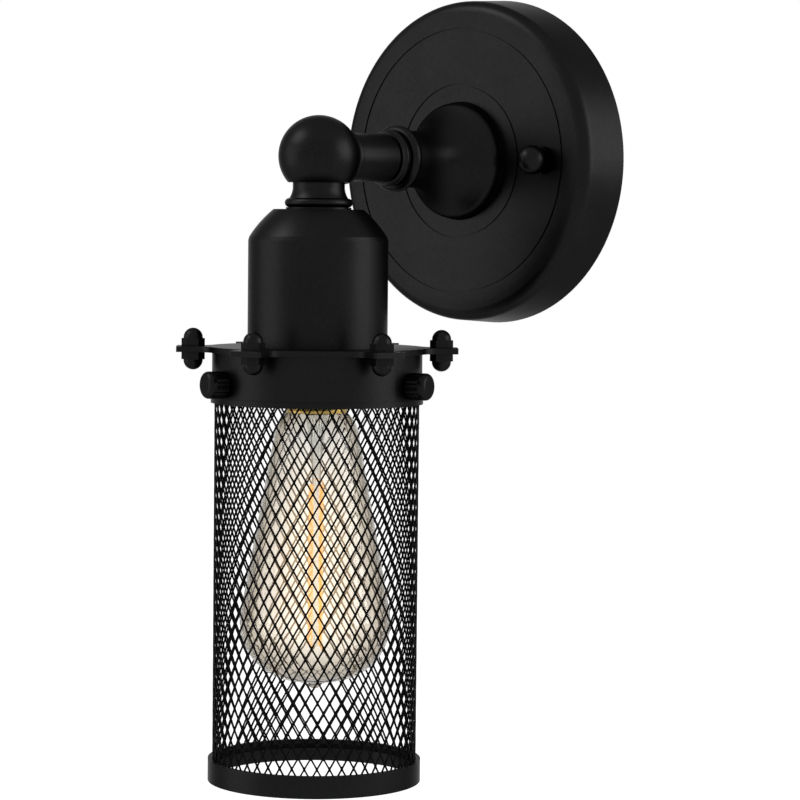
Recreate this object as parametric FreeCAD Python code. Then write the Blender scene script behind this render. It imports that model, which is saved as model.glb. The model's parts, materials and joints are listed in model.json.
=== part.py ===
import FreeCAD, Part
import math
import os

from FreeCAD import Vector

# A wall light: a round pan on the wall, a straight arm ending in a ball, and under the ball a
# cup, a six-armed plate and a fitter ring that holds a cage of diamond mesh round a lamp bulb.
#
# Millimetres. The origin is the centre of the pan's back on the wall, +Z is up and the light
# stands out towards -Y. Two axes carry nearly everything: the arm axis, square to the wall
# through the origin, and the lamp axis, upright at ARM_REACH from the wall. A piece on the arm
# axis is drawn about Z with z as its height off the wall, then laid out by on_arm. A piece on
# the lamp axis is drawn about Z with the ball's centre at zero, then moved out by on_lamp.

# Reach of the arm: wall to lamp axis.
ARM_REACH = 114.2

# Fits and clearances, each a gap between two surfaces.
THREAD_GAP = 0.03        # threads and pressed fits, on the radius
SLIP_GAP = 0.05          # one piece slid over another, on the radius
RUN_GAP = 0.06           # turning fits, on the radius
HOLE_GAP = 0.2           # clearance holes, on the radius
THRUST_GAP = 0.1         # flat faces that turn on each other
STAND_OFF = 0.3          # faces of moving pieces that stay apart
CUT = 1.0                # how far a cutting shape runs past what it cuts
EDGE_MATCH = 0.2         # how near an edge must lie to the place it is looked for

# Threaded lamp tube and its nuts, used in the arm, the swivel and the neck.
NIPPLE_R = 5.0
NIPPLE_BORE_R = 3.6
NUT_FLATS = 14.0
NUT_H = 3.4
WASHER_R = 7.8
WASHER_H = 0.9

# Wall pan.
PAN_SIDE_R = 69.7        # outside, where the side meets the shoulder
PAN_FLARE = 1.3          # how much wider the side is on the wall
PAN_DEPTH = 25.0
PAN_SHEET = 1.6
PAN_SHOULDER = 5.5       # radius of the rounded shoulder
PAN_CROWN = 45.0         # radius of the crowned band inside the shoulder
PAN_BAND = 11.4          # from the flat middle of the face out to the side
GROOVE_IN_R = 33.1
GROOVE_INSET = 1.0       # outer groove, in from the edge of the flat middle
GROOVE_W = 1.2
GROOVE_DEPTH = 0.45

# Strap behind the pan.
STRAP_L = 112.0
STRAP_W = 20.0
STRAP_H = 2.0
STRAP_CORNER = 4.0
SLOT_PITCH = 69.9        # between the box screws, centre to centre
SLOT_R = 2.4
SLOT_L = 13.1
STRAP_HOLE_R = 6.5
GROUND_X = 18.0
GROUND_R = 2.0
GROUND_HEAD_R = 4.0
GROUND_HEAD_H = 2.6
DRIVER_SLOT_W = 1.0
DRIVER_SLOT_DEPTH = 1.0

# Ball nuts that hold the pan.
STUD_X = 46.7
STUD_R = 2.05
BALL_NUT_COLLAR_R = 6.0
BALL_NUT_COLLAR_H = 3.0
BALL_NUT_R = 6.2
BALL_NUT_RISE = 7.3      # ball centre above the pan
BALL_NUT_BORE = 8.0

# Arm flange on the pan: a foot, a rounded shoulder and a long hollow sweep up to the neck.
FLANGE_FOOT_R = 25.8
FLANGE_SIDE_R = 25.2
FLANGE_SHOULDER = 5.4    # radius of the shoulder
FLANGE_SWEEP = 33.8      # radius of the hollow sweep
FLANGE_WALL = 2.0
FLANGE_RISE = 31.8       # top of the sweep above the pan
FLANGE_NECK = 7.4        # straight neck above the sweep

# Beaded ring over the flange's neck.
ARM_BEAD_R = 14.2
ARM_BEAD_H = 5.2
ARM_BEAD_WALL = 2.4
ARM_GROOVE_R = 11.5
ARM_RING_H = 10.1
ARM_SMALL_BEAD_R = 12.1
ARM_SMALL_BEAD_H = 2.4
ARM_BEADS_APART = 1.2
ARM_RING_EDGE = 0.85     # wall of the ring at its outer end

# Arm tube, its foot bushing and its end collar.
TUBE_R = 10.1
TUBE_WALL = 1.2
TUBE_LIFT = 3.0          # foot of the tube above the pan
BUSHING_H = 1.5
BUSHING_PLUG = 16.0
COLLAR_R = 11.5
COLLAR_H = 2.9
COLLAR_EDGE = 0.8
COLLAR_PLUG = 10.0

# Swivel: a hollow post through the side of the ball, held inside by a washer and a nut.
BALL_R = 16.9
BALL_CUT = 11.0          # ball centre down to the flat under it
BALL_FACE_OUT = 12.6     # ball centre out to the bearing's outer face
BALL_FACE_IN = 8.3       # ball centre out to the bearing's inner face
BALL_POCKET_R = 8.6
POST_BORE_R = 3.4
POST_PLUG = 10.8
POST_PAST_NUT = 0.6

# Neck under the ball.
NECK_R = 10.8
NECK_STRAIGHT = 2.4
NECK_FOOT_R = 12.2
NECK_SWEEP = 9.0
NECK_H = 6.5
NECK_PLUG_R = 9.0
NECK_PLUG = 2.1
NECK_BEAD_R = 14.1
NECK_BEAD_FOOT_R = 13.6
NECK_BEAD_H = 4.6
NECK_BEAD_LIP = 0.8

# Cup over the socket.
CUP_TOP_R = 18.7
CUP_EDGE_IN = 0.5        # foot of the cone, in from the side
CUP_CONE_H = 11.3
CUP_CONE_BOW = 0.6
CUP_R = 29.1
CUP_EDGE_H = 1.6
CUP_H = 57.0
CUP_SHEET = 1.2

# Socket.
SOCKET_CAP_R = 19.0
SOCKET_CAP_H = 12.0
SOCKET_CAP_WALL = 2.0
SOCKET_CAP_COLLAR = 6.0  # straight threaded length at its top
SOCKET_LIFT = 19.6       # mouth of the cap up to the seat of the flange
SOCKET_R = 17.4
SOCKET_FLANGE_R = 21.4
SOCKET_FLANGE_H = 2.4
SOCKET_REACH = 21.4      # below the seat of the flange
SOCKET_FLOOR = 7.0       # its underside is level with the seat
SCREW_SHELL_R = 13.15    # bore of the brass screw shell
SCREW_SHELL_WALL = 0.5
SCREW_SHELL_L = 19.5
CONTACT_R = 4.0
CONTACT_H = 1.9
CONTACT_RIVET_R = 1.6
TERMINAL_X = 8.6
TERMINAL_R = 1.75
TERMINAL_HEAD_R = 3.2
TERMINAL_HEAD_H = 2.4
TERMINAL_LIFT = 0.9      # end of the screw above the underside of the floor

# Wires.
WIRE_R = 1.1
WIRE_X = 1.25            # from the axis, one each side
WIRE_INSET = 1.0         # cut end inside the tube's wall end
WIRE_SIDES = 8
BEND_SHARE = 0.45        # share of a run that the bend at each end may take

# Star plate and its cap nuts.
STAR_ARMS = 6
STAR_TURN = 43.4         # first arm, degrees from +X
STAR_TIP = 58.4          # axis to the end of an arm
STAR_ARM_W = 14.4
STAR_BODY_R = 45.5
STAR_FILLET = 8.0
STAR_T = 2.4
STAR_CORNER = 0.8
STAR_NUT_AT = 51.6
CAP_NUT_FLATS = 8.4
CAP_NUT_HEX_H = 3.2
CAP_NUT_DOME_R = 4.0
CAP_NUT_H = 7.5
STAR_STUD_PAST = 4.6

# Fitter ring, and the ring nut that clamps it and the star plate to the socket.
FITTER_R = 43.7
FITTER_WALL = 0.8
FITTER_TOP = 1.0
FITTER_H = 20.9
FITTER_LIP = 0.5
FITTER_LIP_H = 2.4
RING_NUT_R = 22.5
RING_NUT_H = 3.5
RING_NUT_NOTCHES = 12
RING_NUT_NOTCH_R = 1.2

# Thumb screws through the fitter ring.
THUMB_COUNT = 3
THUMB_TURN = 13.4        # first screw, degrees from +X
THUMB_DROP = 12.6        # below the top of the fitter ring
THUMB_SCREW_R = 2.0
THUMB_TIP_GAP = 0.1      # screw tip to the cage's band
THUMB_KNOB_R = 5.6
THUMB_KNOB_L = 8.8
THUMB_KNOB_GAP = 0.5     # knob to the fitter ring
THUMB_RIBS = 20
THUMB_RIB_DEPTH = 0.35
THUMB_RIB_L = 5.8
THUMB_SCREW_IN_KNOB = 5.4
THUMB_ROUND = 2.0

# Cage: a top band in the fitter ring, the mesh, and a bottom band.
CAGE_PLAY = 0.45         # top band to the fitter ring, on the radius
BAND_WALL = 0.85
BAND_START = 2.5         # top of the band below the top of the fitter ring
BAND_H = 15.5
MESH_H = 155.2
MESH_COUNT = 52          # diamonds round the cage
MESH_ROWS = 17           # diamonds from top to bottom
MESH_STEPS = 8           # flat stretches in one strand
MESH_STRAND_W = 0.92
MESH_STRAND_T = 0.32
MESH_LAYER_GAP = 0.06
MESH_OUTWARD = 0.15      # middle of the mesh, out from the middle of the band's wall
MESH_JOIN = 0.0001       # how close two edges of its skin are sewn
SELVEDGE_H = 1.5
SELVEDGE_PAST = 0.08     # selvedge past the strands, inside and outside
HEM_R = 44.5
HEM_WALL = 1.4
HEM_H = 9.2
HEM_CUP = 3.5            # depth of the seat that takes the mesh
HEM_SHELF_H = 1.2
HEM_SHELF_R = 41.6

# Bulb: screw base and a long pear of glass.
BULB_BASE_R = 13.05
BULB_BASE_WALL = 0.35
BULB_BASE_H = 22.3
BULB_TIP_GAP = 0.1       # bulb's contact to the socket's
BULB_TIP_R = 4.7
BULB_TIP_H = 3.0
BULB_TIP_BEVEL = 1.0
BULB_CONE_H = 2.1
BULB_FLARE_R = 18.0      # glass at the end of the flare
BULB_FLARE_H = 11.4      # rim of the base down to the end of the flare
BULB_FLARE_BOW = 1.3
BULB_GLASS_R = 31.55     # widest
BULB_WIDE_DROP = 87.7    # rim of the base down to the widest place
BULB_END = 24.5          # radius of the rounded end
BULB_END_TURN = 75.0     # degrees of the rounded end below the widest place
BULB_CROWN_DROP = 2.2
BULB_PIP_R = 3.2
BULB_PIP_H = 2.2
BULB_GLASS_WALL = 0.8
BULB_NECK_IN = 5.0       # glass inside the base
STEM_FLARE_H = 1.2
STEM_R = 4.5
STEM_TIP_R = 1.2
STEM_CONE_DROP = 26.0
STEM_L = 98.0
FILAMENT_TOP = 30.0      # below the rim of the base
FILAMENT_L = 68.0
FILAMENT_R = 0.3
FILAMENT_AT = 2.2        # leg to the lamp axis
FILAMENT_SIDES = 6
SUPPORT_R = 0.35
SUPPORT_AT = 3.0
SUPPORT_TOP = 6.0        # drops below the rim of the base
SUPPORT_BEND = 17.0
SUPPORT_STRAIGHT = 23.0

# Places that follow from the sizes above, along the arm axis (height off the wall).
PAN_BACK = PAN_DEPTH - PAN_SHEET
TUBE_BORE_R = TUBE_R - TUBE_WALL
TUBE_FOOT = PAN_DEPTH + TUBE_LIFT
BALL_OUT = ARM_REACH - BALL_FACE_OUT
BALL_IN = ARM_REACH - BALL_FACE_IN
COLLAR_FACE = BALL_OUT - STAND_OFF
TUBE_END = COLLAR_FACE - COLLAR_H
FLANGE_TOP = PAN_DEPTH + FLANGE_RISE + FLANGE_NECK
SWIVEL_WASHER = BALL_IN + THRUST_GAP
SWIVEL_NUT = SWIVEL_WASHER + WASHER_H
POST_END = SWIVEL_NUT + NUT_H + POST_PAST_NUT

# Places down the lamp axis, below the ball's centre.
NECK_TOP = -BALL_CUT
NECK_FOOT = NECK_TOP - NECK_H
CUP_TOP = NECK_FOOT - NECK_BEAD_H
STAR_TOP = CUP_TOP - CUP_H
STAR_FOOT = STAR_TOP - STAR_T
FITTER_FOOT = STAR_FOOT - FITTER_H
RING_NUT_TOP = STAR_FOOT - FITTER_TOP
SOCKET_TOP = STAR_TOP + SOCKET_LIFT
SOCKET_MOUTH = STAR_TOP - SOCKET_REACH
CAP_COLLAR_FOOT = SOCKET_TOP + SOCKET_CAP_H - SOCKET_CAP_COLLAR
FLOOR_TOP = STAR_TOP + SOCKET_FLOOR
BULB_TIP = STAR_TOP - CONTACT_H - BULB_TIP_GAP
BASE_TOP = BULB_TIP - BULB_TIP_H
BASE_RIM = BASE_TOP - BULB_BASE_H
BAND_TOP = STAR_FOOT - BAND_START
BAND_FOOT = BAND_TOP - BAND_H
MESH_FOOT = BAND_FOOT - MESH_H
HEM_TOP = MESH_FOOT + HEM_CUP
THUMB_Z = STAR_FOOT - THUMB_DROP

# Radii that follow from the sizes above.
PAN_RIM_R = PAN_SIDE_R + PAN_FLARE
PAN_FACE_R = PAN_SIDE_R - PAN_BAND
GROOVE_RADII = (GROOVE_IN_R, PAN_FACE_R - GROOVE_INSET)
CUP_CONE_R = CUP_R - CUP_EDGE_IN
FITTER_BORE_R = FITTER_R - FITTER_WALL
BAND_R = FITTER_BORE_R - CAGE_PLAY
MESH_DEPTH = 2 * MESH_STRAND_T + MESH_LAYER_GAP
MESH_IN_R = BAND_R - BAND_WALL / 2 - MESH_DEPTH / 2 + MESH_OUTWARD
MESH_OUT_R = MESH_IN_R + MESH_DEPTH
SELVEDGE_IN_R = MESH_IN_R - SELVEDGE_PAST
SELVEDGE_OUT_R = MESH_OUT_R + SELVEDGE_PAST
SOCKET_BORE_R = SCREW_SHELL_R + SCREW_SHELL_WALL + THREAD_GAP
BASE_BORE_R = BULB_BASE_R - BULB_BASE_WALL
BULB_NECK_R = BASE_BORE_R - THREAD_GAP


def arc_to(start, end, radius):
    """The point end, reached from start along an arc. A radius over zero bows to the left."""
    half = math.dist(start[:2], end[:2]) / 2
    bow = abs(radius) - math.sqrt(radius ** 2 - half ** 2)
    return (end[0], end[1], math.copysign(bow, radius))


def outline(points):
    """Closed wire through (r, z) points. A third number bows the stretch before it to the left."""
    edges = []
    for start, end in zip(points[-1:] + points[:-1], points):
        a = Vector(start[0], 0, start[1])
        b = Vector(end[0], 0, end[1])
        if len(end) == 3 and end[2]:
            left = Vector(a.z - b.z, 0, b.x - a.x).normalize()
            edges.append(Part.Arc(a, (a + b) / 2 + left * end[2], b).toShape())
        else:
            edges.append(Part.LineSegment(a, b).toShape())
    return Part.Wire(edges)


def turned(points):
    """Solid turned about Z from a closed outline of (r, z) points."""
    solid = Part.Face(outline(points)).revolve(Vector(0, 0, 0), Vector(0, 0, 1), 360)
    if solid.Volume < 0:
        solid.reverse()
    return solid


def inset(points, wall):
    """The open outline moved to the right of travel by a wall, for the inside of a skin."""
    normals = []
    for start, end in zip(points, points[1:]):
        run = math.dist(start[:2], end[:2])
        normals.append(((end[1] - start[1]) / run, (start[0] - end[0]) / run))
    moved = []
    for point, before, after in zip(points, normals[:1] + normals, normals + normals[-1:]):
        if point[0] == 0:
            moved.append((0, point[1] + wall / after[1]) + point[2:])
            continue
        k = wall / (1 + before[0] * after[0] + before[1] * after[1])
        place = (point[0] + k * (before[0] + after[0]), point[1] + k * (before[1] + after[1]))
        moved.append(place + point[2:])
    return moved


def rod(radius, low, high):
    """Round bar about Z between two heights."""
    return Part.makeCylinder(radius, high - low, Vector(0, 0, low))


def tube(radius, bore, low, high):
    """Round tube about Z between two heights."""
    return rod(radius, low, high).cut(rod(bore, low - CUT, high + CUT))


def hexagon(flats, low, high):
    """Hexagonal bar about Z, flats apart, between two heights."""
    corner = flats / math.sqrt(3)
    points = [Vector(corner, 0, low)]
    for side in range(1, 7):
        angle = math.radians(60 * side)
        points.append(Vector(corner * math.cos(angle), corner * math.sin(angle), low))
    return Part.Face(Part.makePolygon(points)).extrude(Vector(0, 0, high - low))


def across(shape, x, y=0.0):
    """The shape moved sideways."""
    moved = shape.copy()
    moved.translate(Vector(x, y, 0))
    return moved


def around(shape, count, first=0.0):
    """Copies of the shape turned about Z, evenly spaced from the first angle in degrees."""
    copies = []
    for i in range(count):
        turned_copy = shape.copy()
        turned_copy.rotate(Vector(0, 0, 0), Vector(0, 0, 1), first + 360 * i / count)
        copies.append(turned_copy)
    return copies


def on_arm(shape):
    """Lays a shape drawn about Z out along the arm axis, with its z as height off the wall."""
    laid = shape.copy()
    laid.rotate(Vector(0, 0, 0), Vector(1, 0, 0), 90)
    return laid


def on_lamp(shape):
    """Moves a shape drawn about Z to the lamp axis."""
    moved = shape.copy()
    moved.translate(Vector(0, -ARM_REACH, 0))
    return moved


def bent_tube(points, radius, sides):
    """Many-sided rod along straight runs joined by tangent arcs, the largest that the runs allow."""
    path = []
    last = points[0]
    for before, corner, after in zip(points, points[1:], points[2:]):
        arrive = (corner - before).normalize()
        leave = (after - corner).normalize()
        back = BEND_SHARE * min((corner - before).Length, (after - corner).Length)
        start = corner - arrive * back
        end = corner + leave * back
        middle = corner + (leave - arrive).normalize() * arc_depth(arrive, leave, back)
        path.append(Part.LineSegment(last, start).toShape())
        path.append(Part.Arc(start, middle, end).toShape())
        last = end
    path.append(Part.LineSegment(last, points[-1]).toShape())
    return swept(Part.Wire(path), points[0], points[1] - points[0], radius, sides)


def arc_depth(arrive, leave, back):
    """Distance from a corner to the middle of the tangent arc that starts this far back from it."""
    half_turn = arrive.getAngle(leave) / 2
    return back / math.tan(half_turn) * (1 / math.cos(half_turn) - 1)


def swept(path, start, direction, radius, sides):
    """Rod of a many-sided section swept along a path."""
    along = Vector(direction).normalize()
    side = along.cross(Vector(0, 1, 0)) if abs(along.y) < 0.9 else along.cross(Vector(1, 0, 0))
    side.normalize()
    other = along.cross(side)
    ring = []
    for i in range(sides + 1):
        angle = 2 * math.pi * i / sides
        ring.append(start + side * (radius * math.cos(angle)) + other * (radius * math.sin(angle)))
    return path.makePipeShell([Part.makePolygon(ring)], True, False)


def pan_surface(depth):
    """Side, shoulder, crown and flat face of the pan, this deep inside its outside."""
    shoulder_r = PAN_SIDE_R - PAN_SHOULDER
    reach = PAN_CROWN - PAN_SHOULDER
    run = shoulder_r - PAN_FACE_R
    rise = math.sqrt(reach ** 2 - run ** 2)
    crown_h = PAN_DEPTH - PAN_CROWN
    crown = PAN_CROWN - depth
    side = (PAN_SIDE_R - depth, crown_h + rise)
    meet = (PAN_FACE_R + crown * run / reach, crown_h + crown * rise / reach)
    face = (PAN_FACE_R, PAN_DEPTH - depth)
    return [
        (0, 0),
        (PAN_RIM_R - depth, 0),
        side,
        arc_to(side, meet, depth - PAN_SHOULDER),
        arc_to(meet, face, -crown),
        (0, PAN_DEPTH - depth),
    ]


def backplate():
    """Pressed pan with two fine grooves in its face and holes for the arm and the studs."""
    pan = turned(pan_surface(0)).cut(turned(pan_surface(PAN_SHEET)))
    for radius in GROOVE_RADII:
        floor = PAN_DEPTH - GROOVE_DEPTH
        pan = pan.cut(tube(radius + GROOVE_W / 2, radius - GROOVE_W / 2, floor, PAN_DEPTH + CUT))
    pan = pan.cut(rod(NIPPLE_R + HOLE_GAP, 0, PAN_DEPTH + CUT))
    for x in (-STUD_X, STUD_X):
        pan = pan.cut(across(rod(STUD_R + HOLE_GAP, 0, PAN_DEPTH + CUT), x))
    return on_arm(pan)


def crossbar():
    """Flat strap on the junction box: two slots, two threaded stud holes, a wire hole."""
    strap = Part.makeBox(STRAP_L, STRAP_W, STRAP_H, Vector(-STRAP_L / 2, -STRAP_W / 2, 0))
    upright = [edge for edge in strap.Edges if abs(edge.tangentAt(edge.FirstParameter).z) > 0.9]
    strap = strap.makeFillet(STRAP_CORNER, upright)
    strap = strap.cut(rod(STRAP_HOLE_R, -CUT, STRAP_H + CUT))
    run = SLOT_L / 2 - SLOT_R
    for x in (-SLOT_PITCH / 2, SLOT_PITCH / 2):
        for end in (-run, run):
            strap = strap.cut(across(rod(SLOT_R, -CUT, STRAP_H + CUT), x + end))
        middle = Part.makeBox(2 * run, 2 * SLOT_R, STRAP_H + 2 * CUT, Vector(x - run, -SLOT_R, -CUT))
        strap = strap.cut(middle)
    for x in (-STUD_X, STUD_X):
        strap = strap.cut(across(rod(STUD_R + THREAD_GAP, -CUT, STRAP_H + CUT), x))
    strap = strap.cut(across(rod(GROUND_R + THREAD_GAP, -CUT, STRAP_H + CUT), GROUND_X))
    return on_arm(strap)


def ground_screw():
    """Slotted screw for the earth wire."""
    top = STRAP_H + GROUND_HEAD_H
    screw = rod(GROUND_R, 0, STRAP_H).fuse(rod(GROUND_HEAD_R, STRAP_H, top))
    slot = Part.makeBox(
        DRIVER_SLOT_W,
        2 * GROUND_HEAD_R + 2 * CUT,
        DRIVER_SLOT_DEPTH + CUT,
        Vector(-DRIVER_SLOT_W / 2, -GROUND_HEAD_R - CUT, top - DRIVER_SLOT_DEPTH),
    )
    return on_arm(across(screw.cut(slot), GROUND_X))


def mounting_studs():
    """Two studs screwed into the strap, out through the pan."""
    stud = rod(STUD_R, 0, PAN_DEPTH + BALL_NUT_BORE)
    return on_arm(Part.Compound([across(stud, -STUD_X), across(stud, STUD_X)]))


def ball_nuts():
    """Collared ball nuts that pull the pan to the wall."""
    centre = PAN_DEPTH + BALL_NUT_RISE
    nut = Part.makeSphere(BALL_NUT_R, Vector(0, 0, centre))
    nut = nut.fuse(rod(BALL_NUT_COLLAR_R, PAN_DEPTH, PAN_DEPTH + BALL_NUT_COLLAR_H))
    nut = nut.cut(rod(STUD_R + THREAD_GAP, PAN_DEPTH - CUT, PAN_DEPTH + BALL_NUT_BORE))
    return on_arm(Part.Compound([across(nut, -STUD_X), across(nut, STUD_X)]))


def lock_nut(seat, height):
    """Hexagonal nut on the threaded tube, from its seat up to a height or down to it."""
    low = min(seat, seat + height)
    high = max(seat, seat + height)
    return hexagon(NUT_FLATS, low, high).cut(rod(NIPPLE_R + THREAD_GAP, low - CUT, high + CUT))


def arm_nipple():
    """Threaded tube from behind the pan into the arm's foot bushing."""
    low = PAN_BACK - WASHER_H - NUT_H - POST_PAST_NUT
    return on_arm(tube(NIPPLE_R, NIPPLE_BORE_R, low, TUBE_FOOT + BUSHING_PLUG - STAND_OFF))


def arm_lock_washer():
    """Washer under the nut, inside the pan."""
    return on_arm(tube(WASHER_R, NIPPLE_R + HOLE_GAP, PAN_BACK - WASHER_H, PAN_BACK))


def arm_nipple_nut():
    """Nut that draws the arm against the pan."""
    return on_arm(lock_nut(PAN_BACK - WASHER_H, -NUT_H))


def flange_surface(depth):
    """Foot, shoulder, hollow sweep and neck of the arm flange, this deep inside its outside."""
    neck_r = TUBE_R + SLIP_GAP + FLANGE_WALL
    neck_h = PAN_DEPTH + FLANGE_RISE
    shoulder_r = FLANGE_SIDE_R - FLANGE_SHOULDER
    reach = FLANGE_SWEEP + FLANGE_SHOULDER
    run = neck_r + FLANGE_SWEEP - shoulder_r
    drop = math.sqrt(reach ** 2 - run ** 2)
    shoulder = FLANGE_SHOULDER - depth
    side = (FLANGE_SIDE_R - depth, neck_h - drop)
    meet = (shoulder_r + shoulder * run / reach, neck_h - drop + shoulder * drop / reach)
    top = (neck_r - depth, neck_h)
    return [
        (0, PAN_DEPTH),
        (FLANGE_FOOT_R - depth, PAN_DEPTH),
        side,
        arc_to(side, meet, -shoulder),
        arc_to(meet, top, FLANGE_SWEEP + depth),
        (neck_r - depth, FLANGE_TOP),
        (0, FLANGE_TOP),
    ]


def arm_flange():
    """Bell-shaped flange between the pan and the beaded ring."""
    return on_arm(turned(flange_surface(0)).cut(turned(flange_surface(FLANGE_WALL))))


def arm_check_ring():
    """Ring with a large and a small bead, fast on the tube above the flange's neck."""
    bore = TUBE_R + THREAD_GAP
    edge = bore + ARM_BEAD_WALL
    bead_top = FLANGE_TOP + ARM_BEAD_H
    groove_top = bead_top + ARM_BEADS_APART
    small_top = groove_top + ARM_SMALL_BEAD_H
    return on_arm(turned([
        (bore, FLANGE_TOP),
        (edge, FLANGE_TOP),
        (edge, bead_top, edge - ARM_BEAD_R),
        (ARM_GROOVE_R, bead_top),
        (ARM_GROOVE_R, groove_top),
        (ARM_GROOVE_R, small_top, ARM_GROOVE_R - ARM_SMALL_BEAD_R),
        (bore + ARM_RING_EDGE, FLANGE_TOP + ARM_RING_H),
        (bore, FLANGE_TOP + ARM_RING_H),
    ]))


def arm_tube():
    """Straight tube of the arm."""
    return on_arm(tube(TUBE_R, TUBE_BORE_R, TUBE_FOOT, TUBE_END))


def plug(bore):
    """Radius of a plug fast in the arm tube, and the bore that takes the threaded tube."""
    return TUBE_BORE_R - THREAD_GAP, bore + THREAD_GAP


def arm_base_bushing():
    """Flanged plug in the foot of the tube, screwed on the threaded tube."""
    radius, bore = plug(NIPPLE_R)
    top = TUBE_FOOT + BUSHING_PLUG
    low = TUBE_FOOT - BUSHING_H
    return on_arm(turned([
        (bore, low),
        (TUBE_R, low),
        (TUBE_R, TUBE_FOOT),
        (radius, TUBE_FOOT),
        (radius, top),
        (bore, top),
    ]))


def arm_end_collar():
    """Collar on the end of the tube that carries the swivel post."""
    radius, bore = plug(NIPPLE_R)
    edge = COLLAR_R - COLLAR_EDGE
    return on_arm(turned([
        (bore, TUBE_END - COLLAR_PLUG),
        (radius, TUBE_END - COLLAR_PLUG),
        (radius, TUBE_END),
        (edge, TUBE_END),
        arc_to((edge, TUBE_END), (COLLAR_R, TUBE_END + COLLAR_EDGE), -COLLAR_EDGE),
        (COLLAR_R, COLLAR_FACE - COLLAR_EDGE),
        arc_to((COLLAR_R, COLLAR_FACE - COLLAR_EDGE), (edge, COLLAR_FACE), -COLLAR_EDGE),
        (bore, COLLAR_FACE),
    ]))


def swivel_post():
    """Hollow threaded post fast in the end collar, through the side of the ball."""
    return on_arm(tube(NIPPLE_R, POST_BORE_R, COLLAR_FACE - POST_PLUG, POST_END))


def swivel_washer():
    """Washer on the post, inside the ball."""
    return on_arm(tube(WASHER_R, NIPPLE_R + SLIP_GAP, SWIVEL_WASHER, SWIVEL_NUT))


def swivel_nut():
    """Nut on the post, inside the ball."""
    return on_arm(lock_nut(SWIVEL_NUT, NUT_H))


def arm_leads():
    """Two wires through the arm, cut off inside the threaded tube at the wall."""
    low = PAN_BACK - WASHER_H - NUT_H - POST_PAST_NUT + WIRE_INSET
    high = POST_END + THRUST_GAP
    wires = []
    for x in (-WIRE_X, WIRE_X):
        run = Part.Wire([Part.LineSegment(Vector(x, 0, low), Vector(x, 0, high)).toShape()])
        wires.append(swept(run, Vector(x, 0, low), Vector(0, 0, 1), WIRE_R, WIRE_SIDES))
    return on_arm(Part.Compound(wires))


def swivel_ball():
    """Hollow ball: a bearing for the post on its wall side and a mouth for the neck below."""
    ball = Part.makeSphere(BALL_R)
    ball = ball.cut(rod(BALL_R + CUT, -BALL_R - CUT, NECK_TOP))
    ball = ball.cut(rod(NECK_PLUG_R + THREAD_GAP, NECK_TOP - CUT, BALL_POCKET_R))
    arm_side = rod(NIPPLE_R + RUN_GAP, 0, BALL_R + CUT)
    arm_side = arm_side.fuse(rod(BALL_POCKET_R, 0, BALL_FACE_IN))
    arm_side = arm_side.fuse(rod(BALL_R, BALL_FACE_OUT, BALL_R + CUT))
    arm_side.rotate(Vector(0, 0, 0), Vector(1, 0, 0), -90)
    return on_lamp(ball.cut(arm_side))


def neck():
    """Turned neck screwed into the ball."""
    bore = NIPPLE_R + THREAD_GAP
    straight = (NECK_R, NECK_TOP - NECK_STRAIGHT)
    foot = (NECK_FOOT_R, NECK_FOOT)
    return on_lamp(turned([
        (bore, NECK_TOP + NECK_PLUG),
        (bore, NECK_FOOT),
        foot,
        arc_to(foot, straight, NECK_SWEEP),
        (NECK_R, NECK_TOP),
        (NECK_PLUG_R, NECK_TOP),
        (NECK_PLUG_R, NECK_TOP + NECK_PLUG),
    ]))


def neck_check_ring():
    """Beaded ring between the neck and the cup."""
    lip = CUP_TOP + NECK_BEAD_LIP
    bore = NIPPLE_R + HOLE_GAP
    return on_lamp(turned([
        (bore, CUP_TOP),
        (NECK_BEAD_FOOT_R, CUP_TOP),
        (NECK_BEAD_FOOT_R, lip),
        (NECK_FOOT_R, lip),
        (NECK_FOOT_R, NECK_FOOT, NECK_FOOT_R - NECK_BEAD_R),
        (bore, NECK_FOOT),
    ]))


def neck_nipple():
    """Threaded tube from the neck through the cup into the socket cap."""
    return on_lamp(tube(NIPPLE_R, NIPPLE_BORE_R, CAP_COLLAR_FOOT, NECK_TOP - STAND_OFF))


def cup_surface():
    """Top, cone and side of the cup, from the axis to its mouth."""
    return [
        (0, CUP_TOP),
        (CUP_TOP_R, CUP_TOP),
        (CUP_CONE_R, CUP_TOP - CUP_CONE_H, CUP_CONE_BOW),
        (CUP_R, CUP_TOP - CUP_CONE_H - CUP_EDGE_H),
        (CUP_R, STAR_TOP),
    ]


def cup():
    """Spun cup over the socket, standing on the star plate."""
    outside = turned(cup_surface() + [(0, STAR_TOP)])
    inside = turned(inset(cup_surface(), CUP_SHEET) + [(0, STAR_TOP)])
    return on_lamp(outside.cut(inside).cut(rod(NIPPLE_R + HOLE_GAP, STAR_TOP, CUP_TOP + CUT)))


def cup_washer():
    """Washer under the cup's top."""
    high = CUP_TOP - CUP_SHEET
    return on_lamp(tube(WASHER_R, NIPPLE_R + HOLE_GAP, high - WASHER_H, high))


def cup_nut():
    """Nut that clamps the cup to the neck."""
    return on_lamp(lock_nut(CUP_TOP - CUP_SHEET - WASHER_H, -NUT_H))


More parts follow.
